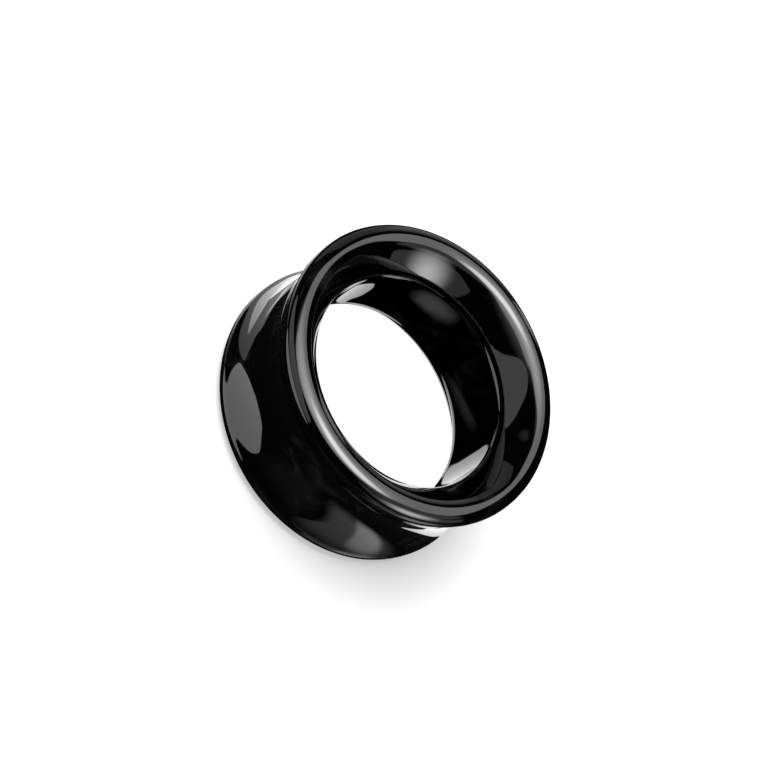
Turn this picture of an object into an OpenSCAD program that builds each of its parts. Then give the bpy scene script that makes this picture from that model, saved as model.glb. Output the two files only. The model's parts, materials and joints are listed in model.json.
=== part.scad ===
// Double-flared ear tunnel, turned and polished from one piece of black stone.
// It lies on one rim. The origin is the middle of the circle that this rim rests on.
// +Z is the bore's axis, and both ends are alike.

/* [Gauge] */
// Diameter at the waist, which is the size of the piercing that it fills
gauge_d = 25; // [16:0.5:40]
// How far each rim stands out past the waist all round
flare = 1; // [0.6:0.1:1.4]
// Overall length along the bore
length = 12.9; // [11:0.1:15]

/* [Wall] */
// Thickness of the wall at the waist
wall = 3; // [2.8:0.1:4]
// Radius of the round that each rim is polished to
rim_r = 1.25; // [0.9:0.05:1.3]

/* [Mouths] */
// Depth of each flared mouth, from the top of its rim to the straight bore
mouth_depth = 3.4; // [3.2:0.1:3.6]
// Radius of the gentle crown of a mouth, seen in section
mouth_r = 13.5; // [13:0.5:30]
// Radius of the round where a mouth meets the straight bore
throat_r = 2; // [1.5:0.1:2.1]

/* [Smoothness] */
// Number of sides that a preview draws round the ring
$fn = 180; // [48:12:360]

/* [Hidden] */

stone = [0.02, 0.02, 0.022];

// How far outlines run on past the edges that they are cut to
overlap = 0.5;
// Where two arcs meet they cross by this depth, so that their shared edge is definite and too faint to feel
crossing_depth = 0.002;

bore_d = gauge_d - 2 * wall;
bore_l = length - 2 * mouth_depth;
flare_d = gauge_d + 2 * flare;

// Centres of the upper rim's round and of the upper throat's round, as [radius, height above mid-length]
rim_c = [flare_d / 2 - rim_r, length / 2 - rim_r];
throat_c = [bore_d / 2 + throat_r - crossing_depth, bore_l / 2];

// Distance from each round's centre to the arcs that run on from it
rim_reach = rim_r - crossing_depth;
throat_reach = throat_r - crossing_depth;

// The waist is one hollow arc that runs on from both rims and is as deep as the flare
waist_in = gauge_d / 2 - rim_c.x;
waist_r = (pow(waist_in, 2) + pow(rim_c.y, 2) - pow(rim_reach, 2)) / (2 * (rim_reach - waist_in));
waist_c = [gauge_d / 2 + waist_r, 0];

// The crown of a mouth is one arc over both rounds, so its centre is where two circles cross
mouth_c = crossing(rim_c, mouth_r - rim_reach, throat_c, mouth_r - throat_reach);

// The crossing of two circles that lies to the left of the line from centre a to centre b
function crossing(a, a_r, b, b_r) =
    let (
        gap = norm(b - a),
        ahead = (b - a) / gap,
        along = (pow(a_r, 2) - pow(b_r, 2) + pow(gap, 2)) / (2 * gap),
        aside = sqrt(pow(a_r, 2) - pow(along, 2))
    )
    a + along * ahead + aside * [-ahead.y, ahead.x];

// The point on the ray from a through b that lies the given distance past b
function past(a, b, distance) = b + distance * (b - a) / norm(b - a);

// The same points with their heights turned over, in the order that carries an outline on
function turned_over(points) = [for (i = [len(points) - 1 : -1 : 0]) [points[i].x, -points[i].y]];

// Draws its children round a centre, and again round that centre's twin at the other end of the bore
module at_both_ends(centre) {
    for (end = [-1, 1])
        translate([centre.x, end * centre.y]) children();
}

// One end's share of the wall between the waist and the mouth, under the crown of that mouth
module crowned(outline, crown_c) {
    intersection() {
        polygon(outline);
        translate(crown_c) circle(r = mouth_r);
    }
}

// Wall between the waist and the mouths. The corners of both shares lie inside the rounds
module wall_core() {
    half = [
        [waist_c.x, -overlap],
        waist_c,
        rim_c,
        past(mouth_c, rim_c, rim_r + overlap),
        past(mouth_c, throat_c, throat_r + overlap),
        throat_c,
        [bore_d / 2 - overlap, throat_c.y],
        [bore_d / 2 - overlap, -overlap]
    ];
    difference() {
        union() {
            crowned(half, mouth_c);
            crowned(turned_over(half), [mouth_c.x, -mouth_c.y]);
        }
        translate(waist_c) circle(r = waist_r);
    }
}

// The half of a throat's round that faces the bore. Its other half could reach out past the waist
module throat_round() {
    side = 2 * (throat_r + overlap);
    intersection() {
        circle(r = throat_r);
        translate([-side / 2, 0]) square(side, center = true);
    }
}

// Section of the wall on one side of the bore, with the bore cut last so that it is straight and clean
module wall_section() {
    difference() {
        union() {
            wall_core();
            at_both_ends(rim_c) circle(r = rim_r);
            at_both_ends(throat_c) throat_round();
        }
        translate([0, -length / 2]) square([bore_d / 2, length]);
    }
}

module tunnel_ring() {
    color(stone)
        translate([0, 0, length / 2])
            rotate_extrude() wall_section();
}

tunnel_ring();
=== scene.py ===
# %% [markdown]
# # A polished black stone ear tunnel
# An ear tunnel is a short, wide ring that is worn in a stretched ear lobe. Both ends flare out into rounded
# rims, and the lobe sits in the hollow waist between them. This one is turned from a single piece of black
# stone and polished until it shines like glass.
#
# A black mirror shows almost nothing of its own. The eye reads its shape from the lights that it reflects,
# so the lesson has three parts that need each other: an exact surface, a quiet stone finish, and a studio
# whose lights are placed one by one.

# %% Load the measured model
import json
import math
from collections import namedtuple

import bpy
from mathutils import Matrix, Vector


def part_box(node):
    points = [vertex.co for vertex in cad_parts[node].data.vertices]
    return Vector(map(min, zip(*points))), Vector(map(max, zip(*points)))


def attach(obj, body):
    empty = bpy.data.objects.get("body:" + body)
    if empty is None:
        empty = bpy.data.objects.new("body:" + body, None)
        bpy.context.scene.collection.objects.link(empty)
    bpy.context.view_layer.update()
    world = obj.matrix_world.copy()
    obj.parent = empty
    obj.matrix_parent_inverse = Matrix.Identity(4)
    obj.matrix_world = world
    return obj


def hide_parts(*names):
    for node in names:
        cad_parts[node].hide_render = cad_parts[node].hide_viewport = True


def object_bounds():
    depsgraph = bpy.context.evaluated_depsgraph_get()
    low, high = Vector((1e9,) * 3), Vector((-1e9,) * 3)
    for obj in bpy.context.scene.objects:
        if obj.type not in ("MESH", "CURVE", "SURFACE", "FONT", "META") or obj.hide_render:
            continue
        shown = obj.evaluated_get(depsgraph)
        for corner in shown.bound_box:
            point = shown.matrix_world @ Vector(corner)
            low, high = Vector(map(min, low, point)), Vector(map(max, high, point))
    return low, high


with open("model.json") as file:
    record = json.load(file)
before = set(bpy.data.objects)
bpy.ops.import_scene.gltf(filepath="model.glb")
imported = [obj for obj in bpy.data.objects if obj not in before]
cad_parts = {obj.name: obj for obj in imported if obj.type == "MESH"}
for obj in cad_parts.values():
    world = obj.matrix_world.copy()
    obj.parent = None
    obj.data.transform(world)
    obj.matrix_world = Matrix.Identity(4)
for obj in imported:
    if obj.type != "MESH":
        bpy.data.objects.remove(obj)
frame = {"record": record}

MM = 0.001

cad_low, cad_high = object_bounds()
print("measured model, mm:", [round(side / MM, 3) for side in cad_high - cad_low])

# %% [markdown]
# ## The camera
# The photograph looks down into the ring at about fifty degrees, with the camera tipped over on its side. A
# long lens from a hand's breadth away keeps the two rims nearly the same size. The camera could be placed
# by hand until the outlines agree. It is placed here by a direction, a distance and a tip, because these
# are the numbers that a photographer would write down.

# %% Name a direction
def towards(azimuth, elevation):
    """The unit vector at that many degrees round from +X, and up from level."""
    around, up = math.radians(azimuth), math.radians(elevation)
    return Vector((math.cos(up) * math.cos(around), math.cos(up) * math.sin(around), math.sin(up)))


print("straight up is", towards(0, 90))

# %% Place the camera
FILM = 36.0  # long side of the film, in millimetres
lens = 102.17  # in millimetres
camera_direction = (270, 50.31)
camera_distance = 192.73 * MM
camera_tip = 60.34
aim_right, aim_up = 0.045 * MM, 0.094 * MM

ring_middle = (cad_low + cad_high) / 2


def place_camera():
    """Makes the scene's camera, which looks at the middle of the ring."""
    data = bpy.data.cameras.new("camera")
    data.lens, data.sensor_width = lens, FILM
    data.clip_start = 1 * MM
    back = towards(*camera_direction)
    level = (-back).to_track_quat("-Z", "Y").to_matrix()
    turned = level @ Matrix.Rotation(math.radians(camera_tip), 3, "Z")
    right, up = turned.col[0], turned.col[1]
    place = ring_middle + camera_distance * back + aim_right * right + aim_up * up
    camera = bpy.data.objects.new("camera", data)
    camera.matrix_world = Matrix.Translation(place) @ turned.to_4x4()
    bpy.context.collection.objects.link(camera)
    return camera


camera = place_camera()
bpy.context.scene.camera = camera
print("camera at, mm:", [round(value / MM, 1) for value in camera.matrix_world.translation])

# %% [markdown]
# ## Wiring nodes from Python
# The ring's shape and its finish are both made by nodes, and so are the lights' soft edges. Wiring nodes
# one line at a time hides what they work out. A small class wraps a socket instead, so that sums read as
# sums, and any other node comes from one call that names its settings and sockets.

# %% Wrap a socket
class Wire:
    """A socket in a node tree. Arithmetic on it adds Math nodes, and node() adds any other node."""

    def __init__(self, tree, socket=None):
        self.tree, self.socket = tree, socket

    @staticmethod
    def pick(sockets, key):
        """The socket in use with that number, identifier or name."""
        if isinstance(key, int):
            return sockets[key]
        return next(s for s in sockets if s.enabled and key in (s.identifier, s.name))

    def node(self, kind, settings=None, inputs=None, output=0):
        """Adds a node, sets it up, fills or links its sockets, and gives one of its outputs."""
        node = self.tree.nodes.new(kind)
        for name, value in (settings or {}).items():
            if name == "stops":
                self.set_stops(node.color_ramp, value)
            else:
                setattr(node, name, value)
        for key, value in (inputs or {}).items():
            socket = self.pick(node.inputs, key)
            for one in value if isinstance(value, list) else [value]:
                if isinstance(one, Wire):
                    self.tree.links.new(one.socket, socket)
                else:
                    socket.default_value = one
        return Wire(self.tree, self.pick(node.outputs, output) if node.outputs else None)

    @staticmethod
    def set_stops(ramp, stops):
        """Gives a colour ramp these (place, brightness) stops."""
        while len(ramp.elements) < len(stops):
            ramp.elements.new(1.0)
        for element, (place, grey) in zip(ramp.elements, stops):
            element.position, element.color = place, (grey, grey, grey, 1)

    def math(self, operation, first, second=0.0):
        return self.node("ShaderNodeMath", {"operation": operation}, {0: first, 1: second})

    def __add__(self, value):
        return self.math("ADD", self, value)

    def __mul__(self, value):
        return self.math("MULTIPLY", self, value)

    __radd__, __rmul__ = __add__, __mul__

    def __sub__(self, value):
        return self.math("SUBTRACT", self, value)

    def __rsub__(self, value):
        return self.math("SUBTRACT", value, self)

    def __truediv__(self, value):
        return self.math("DIVIDE", self, value)

    def __gt__(self, value):
        return self.math("GREATER_THAN", self, value)


# %% [markdown]
# ## The section of the ring
# The ring is a lathe shape, so one section describes it all. Seen in section, the waist is one hollow arc
# that runs straight on from the rounds of both rims. Each mouth is one gently crowned arc from the rim's
# round to a wide round at the throat, and the bore between the throats is straight. Where two arcs meet
# they share a tangent, because any break there would show as a kink in the reflections. The outer sizes
# come from the measured model, and the radii are those that its source is built from.

# %% Name the sizes
ring_low, ring_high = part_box("tunnel_ring")
flare_r = (ring_high.x - ring_low.x) / 2
length = ring_high.z - ring_low.z

bore = next(mount for mount in frame["record"]["mounts"] if mount["name"] == "bore")
bore_r = bore["dims"]["r_mm"] * MM
bore_l = bore["dims"]["length_mm"] * MM

waist_r = 12.5 * MM
rim_r = 1.25 * MM
mouth_r = 13.5 * MM
throat_r = 2 * MM

print(f"flare {2 * flare_r / MM:.1f}, bore {2 * bore_r / MM:.1f}, length {length / MM:.1f} mm")


# %% Find where tangent arcs have their centres
def heading(start, end):
    """The angle of the line from start to end, in the plane of the section."""
    return math.atan2(end.y - start.y, end.x - start.x)


def crossing(a, a_r, b, b_r):
    """The crossing of two circles that lies to the left of the line from centre a to centre b."""
    gap = (b - a).length
    ahead = (b - a) / gap
    along = (a_r**2 - b_r**2 + gap**2) / (2 * gap)
    aside = math.sqrt(a_r**2 - along**2)
    return a + along * ahead + aside * Vector((-ahead.y, ahead.x))


rim_c = Vector((flare_r - rim_r, length / 2 - rim_r))
throat_c = Vector((bore_r + throat_r, bore_l / 2))
waist_in = waist_r - rim_c.x
waist_arc_r = (waist_in**2 + rim_c.y**2 - rim_r**2) / (2 * (rim_r - waist_in))
waist_c = Vector((waist_r + waist_arc_r, 0))
mouth_c = crossing(rim_c, mouth_r - rim_r, throat_c, mouth_r - throat_r)
print(f"the waist is an arc of {waist_arc_r / MM:.2f} mm")

# %% List the arcs of one half of the section
Arc = namedtuple("Arc", "centre radius start end points")
ARCS = {
    "waist": Arc(waist_c, waist_arc_r, math.pi, heading(waist_c, rim_c), 21),
    "rim": Arc(rim_c, rim_r, heading(rim_c, waist_c), heading(mouth_c, rim_c), 37),
    "mouth": Arc(mouth_c, mouth_r, heading(mouth_c, rim_c), heading(mouth_c, throat_c), 13),
    "throat": Arc(throat_c, throat_r, heading(mouth_c, throat_c), math.pi, 25),
}
BORE_POINTS = 5
half_outline = sum(arc.radius * abs(arc.end - arc.start) for arc in ARCS.values()) + bore_l / 2
print(f"half of the outline is {half_outline / MM:.2f} mm long")

# %% [markdown]
# ## The ring, by Geometry Nodes
# A turner would cut this ring by moving a tool along the section while the stone spins. The nodes do the
# same. They draw the arcs of one half of the section, sweep them round a circle, and mirror the result for
# the other end. Making only one half saves half the sizes, and it guarantees that both ends are alike. The
# Screw modifier could sweep the section too, but the nodes also lay out a map of the surface as they go,
# one turn round by one turn of the section, and they press in the faint unevenness that hand polishing
# leaves.

# %% Give the lathe its inputs
steps_round = 480
unevenness = 0.006 * MM  # deepest that the polishing wheel dips
weld = 0.002 * MM
wave_scale = 170.0  # waves of unevenness to each metre
MAP = "OFBake"

lathe_sizes = {"Steps round": steps_round, "Bore points": BORE_POINTS}
lathe_sizes |= {"Bore radius": bore_r, "Bore half": bore_l / 2}
lathe_sizes |= {"Outline": 2 * half_outline, "Half length": length / 2}
lathe_sizes |= {"Unevenness": unevenness, "Weld": weld}
run = 0.0
for name, arc in ARCS.items():
    lathe_sizes[f"{name} centre"] = (arc.centre.x, arc.centre.y, 0.0)
    lathe_sizes[f"{name} radius"] = arc.radius
    lathe_sizes[f"{name} start"] = arc.start
    lathe_sizes[f"{name} sweep"] = arc.end - arc.start
    lathe_sizes[f"{name} points"] = arc.points
    lathe_sizes[f"{name} run"] = run
    run += arc.radius * abs(arc.end - arc.start)
lathe_sizes["Bore run"] = run
print(f"the lathe has {len(lathe_sizes)} inputs")


def named_inputs(tree, sizes):
    """Adds an input to the tree for each size. Gives their wires and their sockets' identifiers."""
    kinds = {int: "NodeSocketInt", float: "NodeSocketFloat", tuple: "NodeSocketVector"}
    identifiers = {}
    for name, value in sizes.items():
        socket = tree.interface.new_socket(name=name, in_out="INPUT", socket_type=kinds[type(value)])
        identifiers[name] = socket.identifier
    group = tree.nodes.new("NodeGroupInput")
    wires = {name: Wire(tree, Wire.pick(group.outputs, key)) for name, key in identifiers.items()}
    return wires, identifiers


# %% Draw the half section
def half_section(bench, size):
    """The arcs and the straight bore of half the section, each with its running length stored on it."""
    lines = []
    for name in ARCS:
        settings = {"mode": "RADIUS"}
        sockets = {"Resolution": size[f"{name} points"], "Radius": size[f"{name} radius"]}
        sockets |= {"Start Angle": size[f"{name} start"], "Sweep Angle": size[f"{name} sweep"]}
        arc = bench.node("GeometryNodeCurveArc", settings, sockets)
        place = {"Geometry": arc, "Translation": size[f"{name} centre"]}
        arc = bench.node("GeometryNodeTransform", None, place)
        lines.append((arc, size[f"{name} run"]))
    top = bench.node("ShaderNodeCombineXYZ", None, {"X": size["Bore radius"], "Y": size["Bore half"]})
    foot = bench.node("ShaderNodeCombineXYZ", None, {"X": size["Bore radius"]})
    straight = bench.node("GeometryNodeCurvePrimitiveLine", None, {"Start": top, "End": foot})
    straight = {"Curve": straight, "Count": size["Bore points"]}
    straight = bench.node("GeometryNodeResampleCurve", None, straight)
    lines.append((straight, size["Bore run"]))

    marked = []
    for line, start in lines:
        along = bench.node("GeometryNodeSplineParameter", output="Length") + start
        store = {"data_type": "FLOAT", "domain": "POINT"}
        line = {"Geometry": line, "Name": "along", "Value": along}
        marked.append(bench.node("GeometryNodeStoreNamedAttribute", store, line))
    return bench.node("GeometryNodeJoinGeometry", None, {"Geometry": marked})


# %% Sweep the half round and map it
A_QUARTER_TURN = 0.25


def named(bench, name):
    """A stored number, read back by name."""
    return bench.node("GeometryNodeInputNamedAttribute", {"data_type": "FLOAT"}, {"Name": name})


def swept(bench, size, section):
    """The half ring: the section swept round a circle whose radius is taken off the section first."""
    rail_r = size["Bore radius"]
    inward = bench.node("ShaderNodeCombineXYZ", None, {"X": 0 - rail_r})
    section = {"Geometry": section, "Translation": inward}
    section = bench.node("GeometryNodeTransform", None, section)
    rail = {"Resolution": size["Steps round"], "Radius": rail_r}
    rail = bench.node("GeometryNodeCurvePrimitiveCircle", {"mode": "RADIUS"}, rail)
    around = bench.node("GeometryNodeSplineParameter", output="Factor")
    store = {"data_type": "FLOAT", "domain": "POINT"}
    rail = {"Geometry": rail, "Name": "around", "Value": around}
    rail = bench.node("GeometryNodeStoreNamedAttribute", store, rail)
    return bench.node("GeometryNodeCurveToMesh", None, {"Curve": rail, "Profile Curve": section})


def mapped(bench, mesh, across):
    """The mesh with its map: the turn round the ring by the share of the outline."""
    around = named(bench, "around")
    on_face = {"data_type": "FLOAT", "domain": "FACE"}
    face = bench.node("GeometryNodeFieldOnDomain", on_face, {"Value": around})
    # The last column's far corners come out as no turn, and belong at one whole turn
    wrapped = face - around > A_QUARTER_TURN
    place = bench.node("ShaderNodeCombineXYZ", None, {"X": around + wrapped, "Y": across})
    store = {"data_type": "FLOAT2", "domain": "CORNER"}
    mesh = {"Geometry": mesh, "Name": MAP, "Value": place}
    return bench.node("GeometryNodeStoreNamedAttribute", store, mesh)


# %% Build the lathe
def lathe_tree():
    """The node tree of the ring, and the identifiers of its inputs."""
    tree = bpy.data.node_groups.new("Lathe", "GeometryNodeTree")
    tree.interface.new_socket(name="Ring", in_out="OUTPUT", socket_type="NodeSocketGeometry")
    size, identifiers = named_inputs(tree, lathe_sizes)
    stone = tree.interface.new_socket(name="Stone", in_out="INPUT", socket_type="NodeSocketMaterial")
    identifiers["Stone"] = stone.identifier
    bench = Wire(tree)

    half = swept(bench, size, half_section(bench, size))
    share = named(bench, "along") / size["Outline"]
    lower = mapped(bench, half, share)
    upper = mapped(bench, half, 1 - share)
    upper = bench.node("GeometryNodeTransform", None, {"Geometry": upper, "Scale": (1, 1, -1)})
    upper = bench.node("GeometryNodeFlipFaces", None, {"Mesh": upper})
    ring = bench.node("GeometryNodeJoinGeometry", None, {"Geometry": [lower, upper]})
    ring = bench.node("GeometryNodeMergeByDistance", None, {"Geometry": ring, "Distance": size["Weld"]})

    waves = {"Scale": wave_scale, "Detail": 1.0, "Roughness": 0.5}
    waves = bench.node("ShaderNodeTexNoise", {"noise_dimensions": "3D"}, waves)
    normal = bench.node("GeometryNodeInputNormal")
    depth = waves * (0 - size["Unevenness"])
    dip = bench.node("ShaderNodeVectorMath", {"operation": "SCALE"}, {0: normal, "Scale": depth})
    ring = bench.node("GeometryNodeSetPosition", None, {"Geometry": ring, "Offset": dip})
    lift = bench.node("ShaderNodeCombineXYZ", None, {"Z": size["Half length"]})
    ring = bench.node("GeometryNodeTransform", None, {"Geometry": ring, "Translation": lift})
    for spent in ("along", "around"):
        ring = bench.node("GeometryNodeRemoveAttribute", None, {"Geometry": ring, "Name": spent})
    ring = bench.node("GeometryNodeSetShadeSmooth", None, {"Geometry": ring})
    ring = bench.node("GeometryNodeRealizeInstances", None, {"Geometry": ring})
    group = tree.nodes.new("NodeGroupInput")
    finish = Wire(tree, Wire.pick(group.outputs, "Stone"))
    ring = bench.node("GeometryNodeSetMaterial", None, {"Geometry": ring, "Material": finish})
    bench.node("NodeGroupOutput", None, {"Ring": ring})
    return tree, identifiers


# %% [markdown]
# ## The stone
# Polished black agate is a dense, glassy stone. Nearly all of its look is the clear reflection of its
# surface, at the strength that its refractive index gives. Under the polish it is not quite black: in good
# light faint smoky wisps show, with a few pale grains. A plain black Principled shader would look like
# plastic. So three small things vary over the surface: the wisps and grains change the colour, and a fine
# haze changes the roughness, where the last polish was a little less even.

# %% Make the stone
STONE_INDEX = 1.54
stone_black = 0.0006
wisp_grey = 0.022
grain_grey = 0.03
wisp_drift = 6 * MM
ROUGH_LOW, ROUGH_SPREAD = 0.012, 0.02


def stone_finish():
    """Black agate, polished by hand."""
    material = bpy.data.materials.new("black_agate")
    material.use_nodes = True
    material.node_tree.nodes.clear()
    bench = Wire(material.node_tree)
    place = bench.node("ShaderNodeTexCoord", output="Object")

    drift = {"Vector": place, "Scale": 130.0, "Detail": 2.0}
    drift = bench.node("ShaderNodeTexNoise", None, drift, "Color")
    pushed = {0: drift, 1: (wisp_drift,) * 3, 2: place}
    pushed = bench.node("ShaderNodeVectorMath", {"operation": "MULTIPLY_ADD"}, pushed)
    smoke = {"Vector": pushed, "Scale": 210.0, "Detail": 5.0, "Roughness": 0.62, "Distortion": 0.8}
    smoke = bench.node("ShaderNodeTexNoise", None, smoke)
    wisps = bench.node("ShaderNodeMapRange", {"interpolation_type": "SMOOTHSTEP"},
                       {"Value": smoke, "From Min": 0.52, "From Max": 0.80})
    clouds = bench.node("ShaderNodeTexNoise", None, {"Vector": place, "Scale": 90.0, "Detail": 1.0})
    patches = bench.node("ShaderNodeMapRange", {"interpolation_type": "SMOOTHSTEP"},
                         {"Value": clouds, "From Min": 0.42, "From Max": 0.62})
    grains = {"Vector": place, "Scale": 2600.0}
    grains = bench.node("ShaderNodeTexVoronoi", {"feature": "F1"}, grains, "Distance")
    grains = bench.node("ShaderNodeMapRange", {"interpolation_type": "SMOOTHSTEP"},
                        {"Value": grains, "From Min": 0.16, "From Max": 0.06})
    rare = bench.node("ShaderNodeTexNoise", None, {"Vector": place, "Scale": 900.0})
    grains = grains * (rare > 0.66)

    grey = stone_black + wisps * patches * wisp_grey + grains * grain_grey
    colour = bench.node("ShaderNodeCombineColor", None, {"Red": grey, "Green": grey, "Blue": grey * 1.03})

    haze = bench.node("ShaderNodeTexNoise", None, {"Vector": place, "Scale": 320.0, "Detail": 4.0})
    roughness = ROUGH_LOW + haze * ROUGH_SPREAD

    ripple = bench.node("ShaderNodeTexNoise", None, {"Vector": place, "Scale": 700.0, "Detail": 2.0})
    bump = bench.node("ShaderNodeBump", None, {"Strength": 0.03, "Distance": 0.02 * MM, "Height": ripple})

    shader = {"Base Color": colour, "Roughness": roughness, "IOR": STONE_INDEX, "Normal": bump}
    shader = bench.node("ShaderNodeBsdfPrincipled", None, shader)
    bench.node("ShaderNodeOutputMaterial", None, {"Surface": shader})
    return material


black_agate = stone_finish()
print("finish:", black_agate.name, "with", len(black_agate.node_tree.nodes), "nodes")


# %% Turn the ring
def turned_ring():
    """The polished ring as one plain mesh, standing for the measured one."""
    tree, identifiers = lathe_tree()
    blank = bpy.data.objects.new("blank", bpy.data.meshes.new("blank"))
    bpy.context.collection.objects.link(blank)
    lathe = blank.modifiers.new("Lathe", "NODES")
    lathe.node_group = tree
    for name, value in lathe_sizes.items():
        lathe[identifiers[name]] = value
    lathe[identifiers["Stone"]] = black_agate
    shown = blank.evaluated_get(bpy.context.evaluated_depsgraph_get())
    mesh = bpy.data.meshes.new_from_object(shown)
    bpy.data.objects.remove(blank)
    ring = bpy.data.objects.new("polished_ring", mesh)
    bpy.context.collection.objects.link(ring)
    return ring


def volume_of(mesh):
    """The volume inside a closed mesh, which comes out negative if its faces point inwards."""
    mesh.calc_loop_triangles()
    corners = [[mesh.vertices[i].co for i in triangle.vertices] for triangle in mesh.loop_triangles]
    return sum(a.dot(b.cross(c)) for a, b, c in corners) / 6


polished_ring = turned_ring()
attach(polished_ring, "root")
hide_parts("tunnel_ring")
ring_mesh = polished_ring.data
ring_volume = volume_of(ring_mesh) / MM**3
print(f"ring: {ring_volume:.1f} mm3 in {len(ring_mesh.loop_triangles)} triangles")

# %% [markdown]
# ## The studio
# The ground is white and lit until it is clean, with only a soft shadow where the ring rests. The ring
# itself must not mirror that ground, or it would turn grey. In a real studio, black flags stand round a
# black object for this reason. Here the ground is simply hidden from reflections. A second white disc, lit
# from within, lies inside the ring and keeps the hole clean. It covers the shadow that the ring would cast
# there.

# %% Set up the ground and the backdrop
GROUND_R = 1.4
DISC_SIDES = 128


def round_ways(sides):
    """Level directions, evenly spaced all round."""
    return [Vector((math.cos(a), math.sin(a), 0)) for a in (math.tau * i / sides for i in range(sides))]


def flat_disc(name, radius, height):
    """A round flat sheet, facing up."""
    mesh = bpy.data.meshes.new(name)
    points = [radius * way + Vector((0, 0, height)) for way in round_ways(DISC_SIDES)]
    mesh.from_pydata(points, [], [range(len(points))])
    disc = bpy.data.objects.new(name, mesh)
    bpy.context.collection.objects.link(disc)
    return disc


def glowing(name, strength, colour=(0, 0, 0, 1)):
    """A matt surface that also gives off light of its own."""
    material = bpy.data.materials.new(name)
    material.use_nodes = True
    material.node_tree.nodes.clear()
    bench = Wire(material.node_tree)
    sockets = {"Base Color": colour, "Roughness": 1.0, "Specular IOR Level": 0.0}
    sockets |= {"Emission Color": (1, 1, 1, 1), "Emission Strength": strength}
    shader = bench.node("ShaderNodeBsdfPrincipled", None, sockets)
    bench.node("ShaderNodeOutputMaterial", None, {"Surface": shader})
    material.cycles.emission_sampling = "NONE"
    return material


INSIDE_R, INSIDE_LIFT = 11.5 * MM, 0.02 * MM

ground = flat_disc("ground", GROUND_R, 0)
ground.data.materials.append(glowing("white_ground", 0.5, (0.8, 0.8, 0.8, 1)))
ground.visible_glossy = False

inside = flat_disc("inside", INSIDE_R, INSIDE_LIFT)
inside.data.materials.append(glowing("lit_paper", 1.0))
inside.visible_glossy = False

bpy.ops.mesh.primitive_uv_sphere_add(segments=64, ring_count=32, radius=GROUND_R)
backdrop = bpy.context.object
backdrop.name = "backdrop"
backdrop.data.materials.append(glowing("white_backdrop", 1.0))
for ray in ("glossy", "diffuse", "shadow", "transmission"):
    setattr(backdrop, f"visible_{ray}", False)

# %% Light the ground
lamp = bpy.data.lights.new("overhead_lamp", "SUN")
lamp.energy = 3.2
lamp.angle = math.radians(50)
overhead_lamp = bpy.data.objects.new("overhead_lamp", lamp)
overhead_lamp.matrix_world = towards(172, 70).to_track_quat("Z", "Y").to_matrix().to_4x4()
overhead_lamp.visible_glossy = False
bpy.context.collection.objects.link(overhead_lamp)

world = bpy.data.worlds.new("dark_room")
world.use_nodes = True
bpy.context.scene.world = world
world.node_tree.nodes["Background"].inputs["Color"].default_value = (1, 1, 1, 1)
world.node_tree.nodes["Background"].inputs["Strength"].default_value = 0.012
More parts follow.
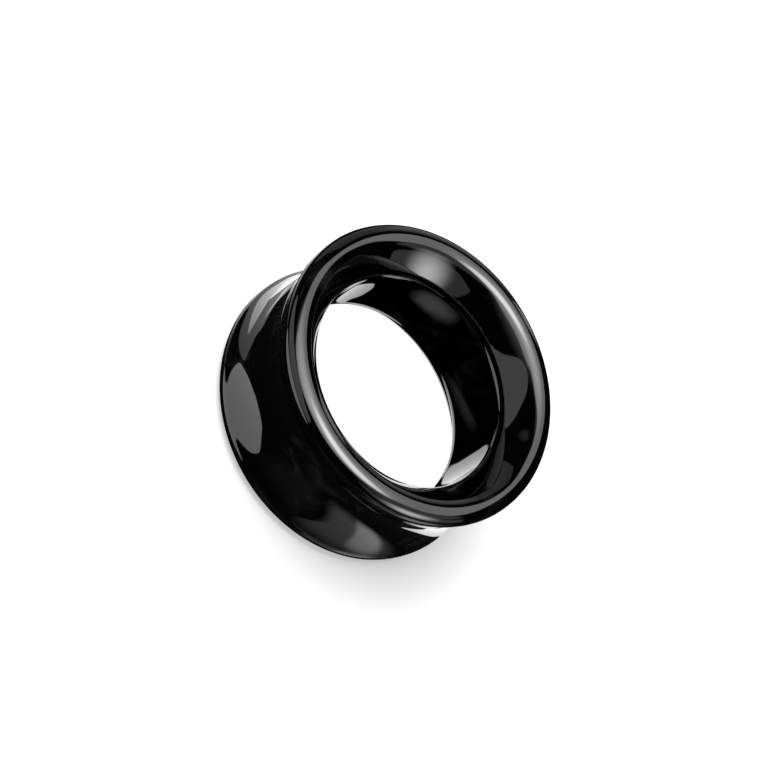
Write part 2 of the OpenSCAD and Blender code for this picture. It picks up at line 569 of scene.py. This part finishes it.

# %% [markdown]
# ## The cards
# A highlight on a polished ring is the image of a light, so each highlight says in which direction its
# light lies. The corners below are such directions, as degrees round and up. They were worked out for
# chosen points of the photograph's highlights, rounded to whole degrees, and adjusted. They suit
# this one view, and another view of the ring would want its own cards. A single wrapped picture of a studio
# could stand in for them all, but separate cards can be moved and dimmed one at a time, as in a real
# studio.
#
# Each card adds its light to whatever is behind it, and fades over a border. Card gives its glow, that
# border as a share of the way in, its corners, and whether a smooth line is drawn through them.

# %% Hang the cards
CARD_DISTANCE = 2.0
Card = namedtuple("Card", "glow border corners round", defaults=(False,))
CARDS = {
    "overhead": Card(2.4, 0.08, [
        (238, 36), (262, 38), (283, 38), (300, 42), (313, 46), (330, 50), (345, 51), (5, 48),
        (16, 43), (24, 38), (34, 38), (50, 41), (70, 43), (92, 46), (115, 48), (140, 47),
        (158, 53), (180, 52), (200, 43), (212, 38), (225, 38)], True),
    "overhead_front": Card(0.6, 0.15, [
        (300, 41), (313, 36), (330, 31), (345, 26), (5, 19), (16, 18), (22, 22), (24, 36),
        (16, 44), (5, 49), (345, 52), (330, 51), (313, 47)], True),
    "overhead_lamp": Card(9, 0.55, [
        (262, 60), (285, 55), (305, 50), (322, 47), (338, 47), (352, 52), (10, 64), (50, 80),
        (140, 82), (215, 74), (242, 66)], True),
    "oval": Card(2.0, 0.04, [
        (200, -29), (204, -33), (210, -37), (218, -40), (226, -42), (236, -42), (246, -40),
        (254, -35), (260, -30), (263, -26), (261, -20), (255, -16), (247, -13), (237, -12),
        (226, -13), (216, -16), (208, -20), (203, -24)], True),
    "side": Card(1.0, 0.04, [
        (262, 13), (257, 19), (250, 24), (245, 30), (240, 34), (231, 35), (222, 33), (212, 28),
        (203, 21), (194, 14), (188, 8), (184, 0), (186, -8), (200, -11), (220, -9), (245, -8),
        (262, -8)], True),
    "left": Card(0.32, 0.08, [
        (94, 27), (112, 34), (122, 36), (130, 40), (140, 34), (150, 24), (155, 15), (160, 8),
        (163, -2), (160, -12), (130, -14), (97, -14)], True),
    "left_low": Card(0.3, 0.3, [(118, 28), (126, 24), (124, 0), (116, -14), (100, -14), (97, 20)], True),
    "left_strip": Card(1.4, 0.4, [(89, 40), (93, 32), (93, 10), (90, -10), (84, 0), (87, 25)]),
    "right": Card(0.5, 0.08, [
        (308, 26), (314, 28), (325, 29), (338, 27), (350, 24), (3, 19), (12, 15), (18, 11),
        (19, 6), (16, -8), (0, -12), (340, -10), (322, 0), (312, 14)], True),
    "low": Card(0.4, 0.6, [
        (305, -15), (312, -12), (340, -14), (5, -18), (22, -24), (26, -33), (20, -42), (10, -49),
        (355, -55), (340, -58), (326, -57), (321, -50), (322, -40), (321, -32), (316, -24),
        (309, -19)], True),
    "low_lamp": Card(0.95, 0.5, [
        (345, -22), (0, -20), (12, -26), (16, -36), (12, -46), (0, -52), (350, -52), (348, -38)], True),
    "under": Card(0.05, 0.7, [
        (262, -20), (290, -15), (308, -14), (320, -26), (322, -45), (318, -62), (290, -60),
        (268, -45)], True),
    "glint": Card(1.6, 0.06, [
        (42, -56), (50, -50), (57, -42), (64, -38), (72, -42), (70, -52), (60, -53), (50, -55)], True),
    "streak": Card(0.55, 0.04, [
        (100, -50), (113, -43), (126, -38), (138, -34), (147, -31), (157, -29), (167, -28),
        (178, -27), (186, -27), (194, -29), (199, -33), (194, -36), (187, -39), (178, -42),
        (169, -46), (158, -48), (147, -49), (136, -50), (120, -51)], True),
    "streak_core": Card(1.4, 0.06, [
        (104, -49), (120, -43), (133, -39), (144, -35), (154, -33), (166, -33), (179, -34),
        (172, -37), (162, -39), (150, -41), (135, -43), (120, -45)], True),
    "streak_line": Card(0.9, 0.4, [
        (110, -49), (125, -48), (140, -48), (152, -46), (164, -44), (156, -47), (142, -49),
        (124, -50)]),
}
SPOT_SIDES = 48
Spot = namedtuple("Spot", "glow azimuth elevation size")
SPOTS = {
    "overhead_glow": Spot(5, 250, 76, 46),
    "right_glow": Spot(8, 345, 12, 23),
    "dark_spot": Spot(0.3, 181, 20, 6),
}


# Corners in millimetres from the bore's axis
NEAR_CARDS = {
    "bore_far": Card(0.55, 0.8, [
        (0.2, 6.4), (1.3, 6.5), (2.6, 5.6), (3.4, 4), (3.4, 2), (2.2, 0.8), (1.2, 2), (0.6, 4),
        (0.2, 5.4)]),
    "bore_low": Card(1.6, 0.1, [
        (0.5, 8.5), (1.8, 8), (3.2, 7.4), (4.4, 6.8), (5.4, 6.2), (7.4, 5.4), (8, 6.4), (8.3, 8),
        (6, 9.8), (2, 9.9)]),
    "bore_top": Card(1.5, 0.1, [
        (-7.4, 5.2), (-5.8, 6.2), (-4.4, 7), (-3.3, 7.9), (-3.6, 8.6), (-6.2, 8.4), (-7.2, 7)]),
}
NEAR_DEPTH = 0.4  # of these cards under the floor, in millimetres
FLAG = [(-9.5, 0.4), (9.5, 0.4), (10.5, 4), (9, 8), (5, 11), (0, 12), (-5, 11), (-9, 8), (-10.5, 4)]


def rounded(points, steps=8):
    """A smooth closed line through the points."""
    line = []
    for i in range(len(points)):
        a, b, c, d = (points[(i + k) % len(points)] for k in (-1, 0, 1, 2))
        for t in (step / steps for step in range(steps)):
            bend = (2 * a - 5 * b + 4 * c - d) * t**2
            twist = (3 * b - a - 3 * c + d) * t**3
            line.append((2 * b + (c - a) * t + bend + twist) / 2)
    return line


def card_glow(name, glow):
    """Adds light to whatever is behind the card, most in the middle and none at its edge."""
    material = bpy.data.materials.new(name)
    material.use_nodes = True
    material.node_tree.nodes.clear()
    bench = Wire(material.node_tree)
    fade = bench.node("ShaderNodeAttribute", {"attribute_name": "fade"}, output="Fac")
    fade = bench.node("ShaderNodeMapRange", {"interpolation_type": "SMOOTHSTEP"}, {"Value": fade})
    light = bench.node("ShaderNodeEmission", None, {"Strength": fade * glow})
    clear = bench.node("ShaderNodeBsdfTransparent")
    both = bench.node("ShaderNodeAddShader", None, {0: light, 1: clear})
    bench.node("ShaderNodeOutputMaterial", None, {"Surface": both})
    material.cycles.emission_sampling = "NONE"
    return material


def sheet(name, outer, border, material):
    """A card with this outline, which only mirrors see. It fades over the border's share of the way in."""
    centre = sum(outer, Vector()) / len(outer)
    inner = [point.lerp(centre, border) for point in outer]
    count = len(outer)
    faces = []
    for i in range(count):
        j = (i + 1) % count
        if border < 1:
            faces.append((i, j, count + j, count + i))
            faces.append((count + i, count + j, 2 * count))
        else:
            faces.append((i, j, 2 * count))
    mesh = bpy.data.meshes.new(name)
    mesh.from_pydata([*outer, *inner, centre], [], faces)
    fade = mesh.attributes.new("fade", "FLOAT", "POINT")
    fade.data.foreach_set("value", [0.0] * count + [1.0] * (count + 1))
    mesh.materials.append(material)
    card = bpy.data.objects.new(name, mesh)
    bpy.context.collection.objects.link(card)
    for ray in ("camera", "diffuse", "shadow", "transmission"):
        setattr(card, f"visible_{ray}", False)


def hang(name, outline, glow, border):
    """Hangs a flat card at CARD_DISTANCE, square on to the ring, whose outline lies in these directions."""
    facing = sum(outline, Vector()).normalized()
    outer = [ring_middle + CARD_DISTANCE * way / way.dot(facing) for way in outline]
    sheet(name, outer, border, card_glow(name, glow))


for name, card in CARDS.items():
    outline = [towards(*corner) for corner in card.corners]
    hang(f"card_{name}", rounded(outline) if card.round else outline, card.glow, card.border)
for name, spot in SPOTS.items():
    facing = towards(spot.azimuth, spot.elevation)
    turn = facing.to_track_quat("Z", "Y")
    reach = math.tan(math.radians(spot.size))
    outline = [facing + reach * (turn @ way) for way in round_ways(SPOT_SIDES)]
    hang(f"card_{name}", outline, spot.glow, 1)

# %% [markdown]
# ## Cards under the ring
# The wall of the bore is upright, so it mirrors only what lies steeply below. A distant card gives it
# slanted bars there, and the photograph shows rounded patches. Three small cards are laid just under the
# floor inside the ring, where only mirrors see them. The black flag below them keeps the distant cards out
# of the bore.

# %% Lay the near cards
for name, card in NEAR_CARDS.items():
    outline = rounded([Vector((x, y, -NEAR_DEPTH)) * MM for x, y in card.corners])
    sheet(f"card_{name}", outline, card.border, card_glow(name, card.glow))
flag_cloth = glowing("black_flag", 0)
flag_outline = [Vector((x, y, -2 * NEAR_DEPTH)) * MM for x, y in FLAG]
sheet("flag", flag_outline, 0.5, flag_cloth)
print("cards:", len(CARDS) + len(SPOTS) + len(NEAR_CARDS), "and one flag")

# %% Set the view transform
view = bpy.context.scene.view_settings
view.view_transform = "Standard"
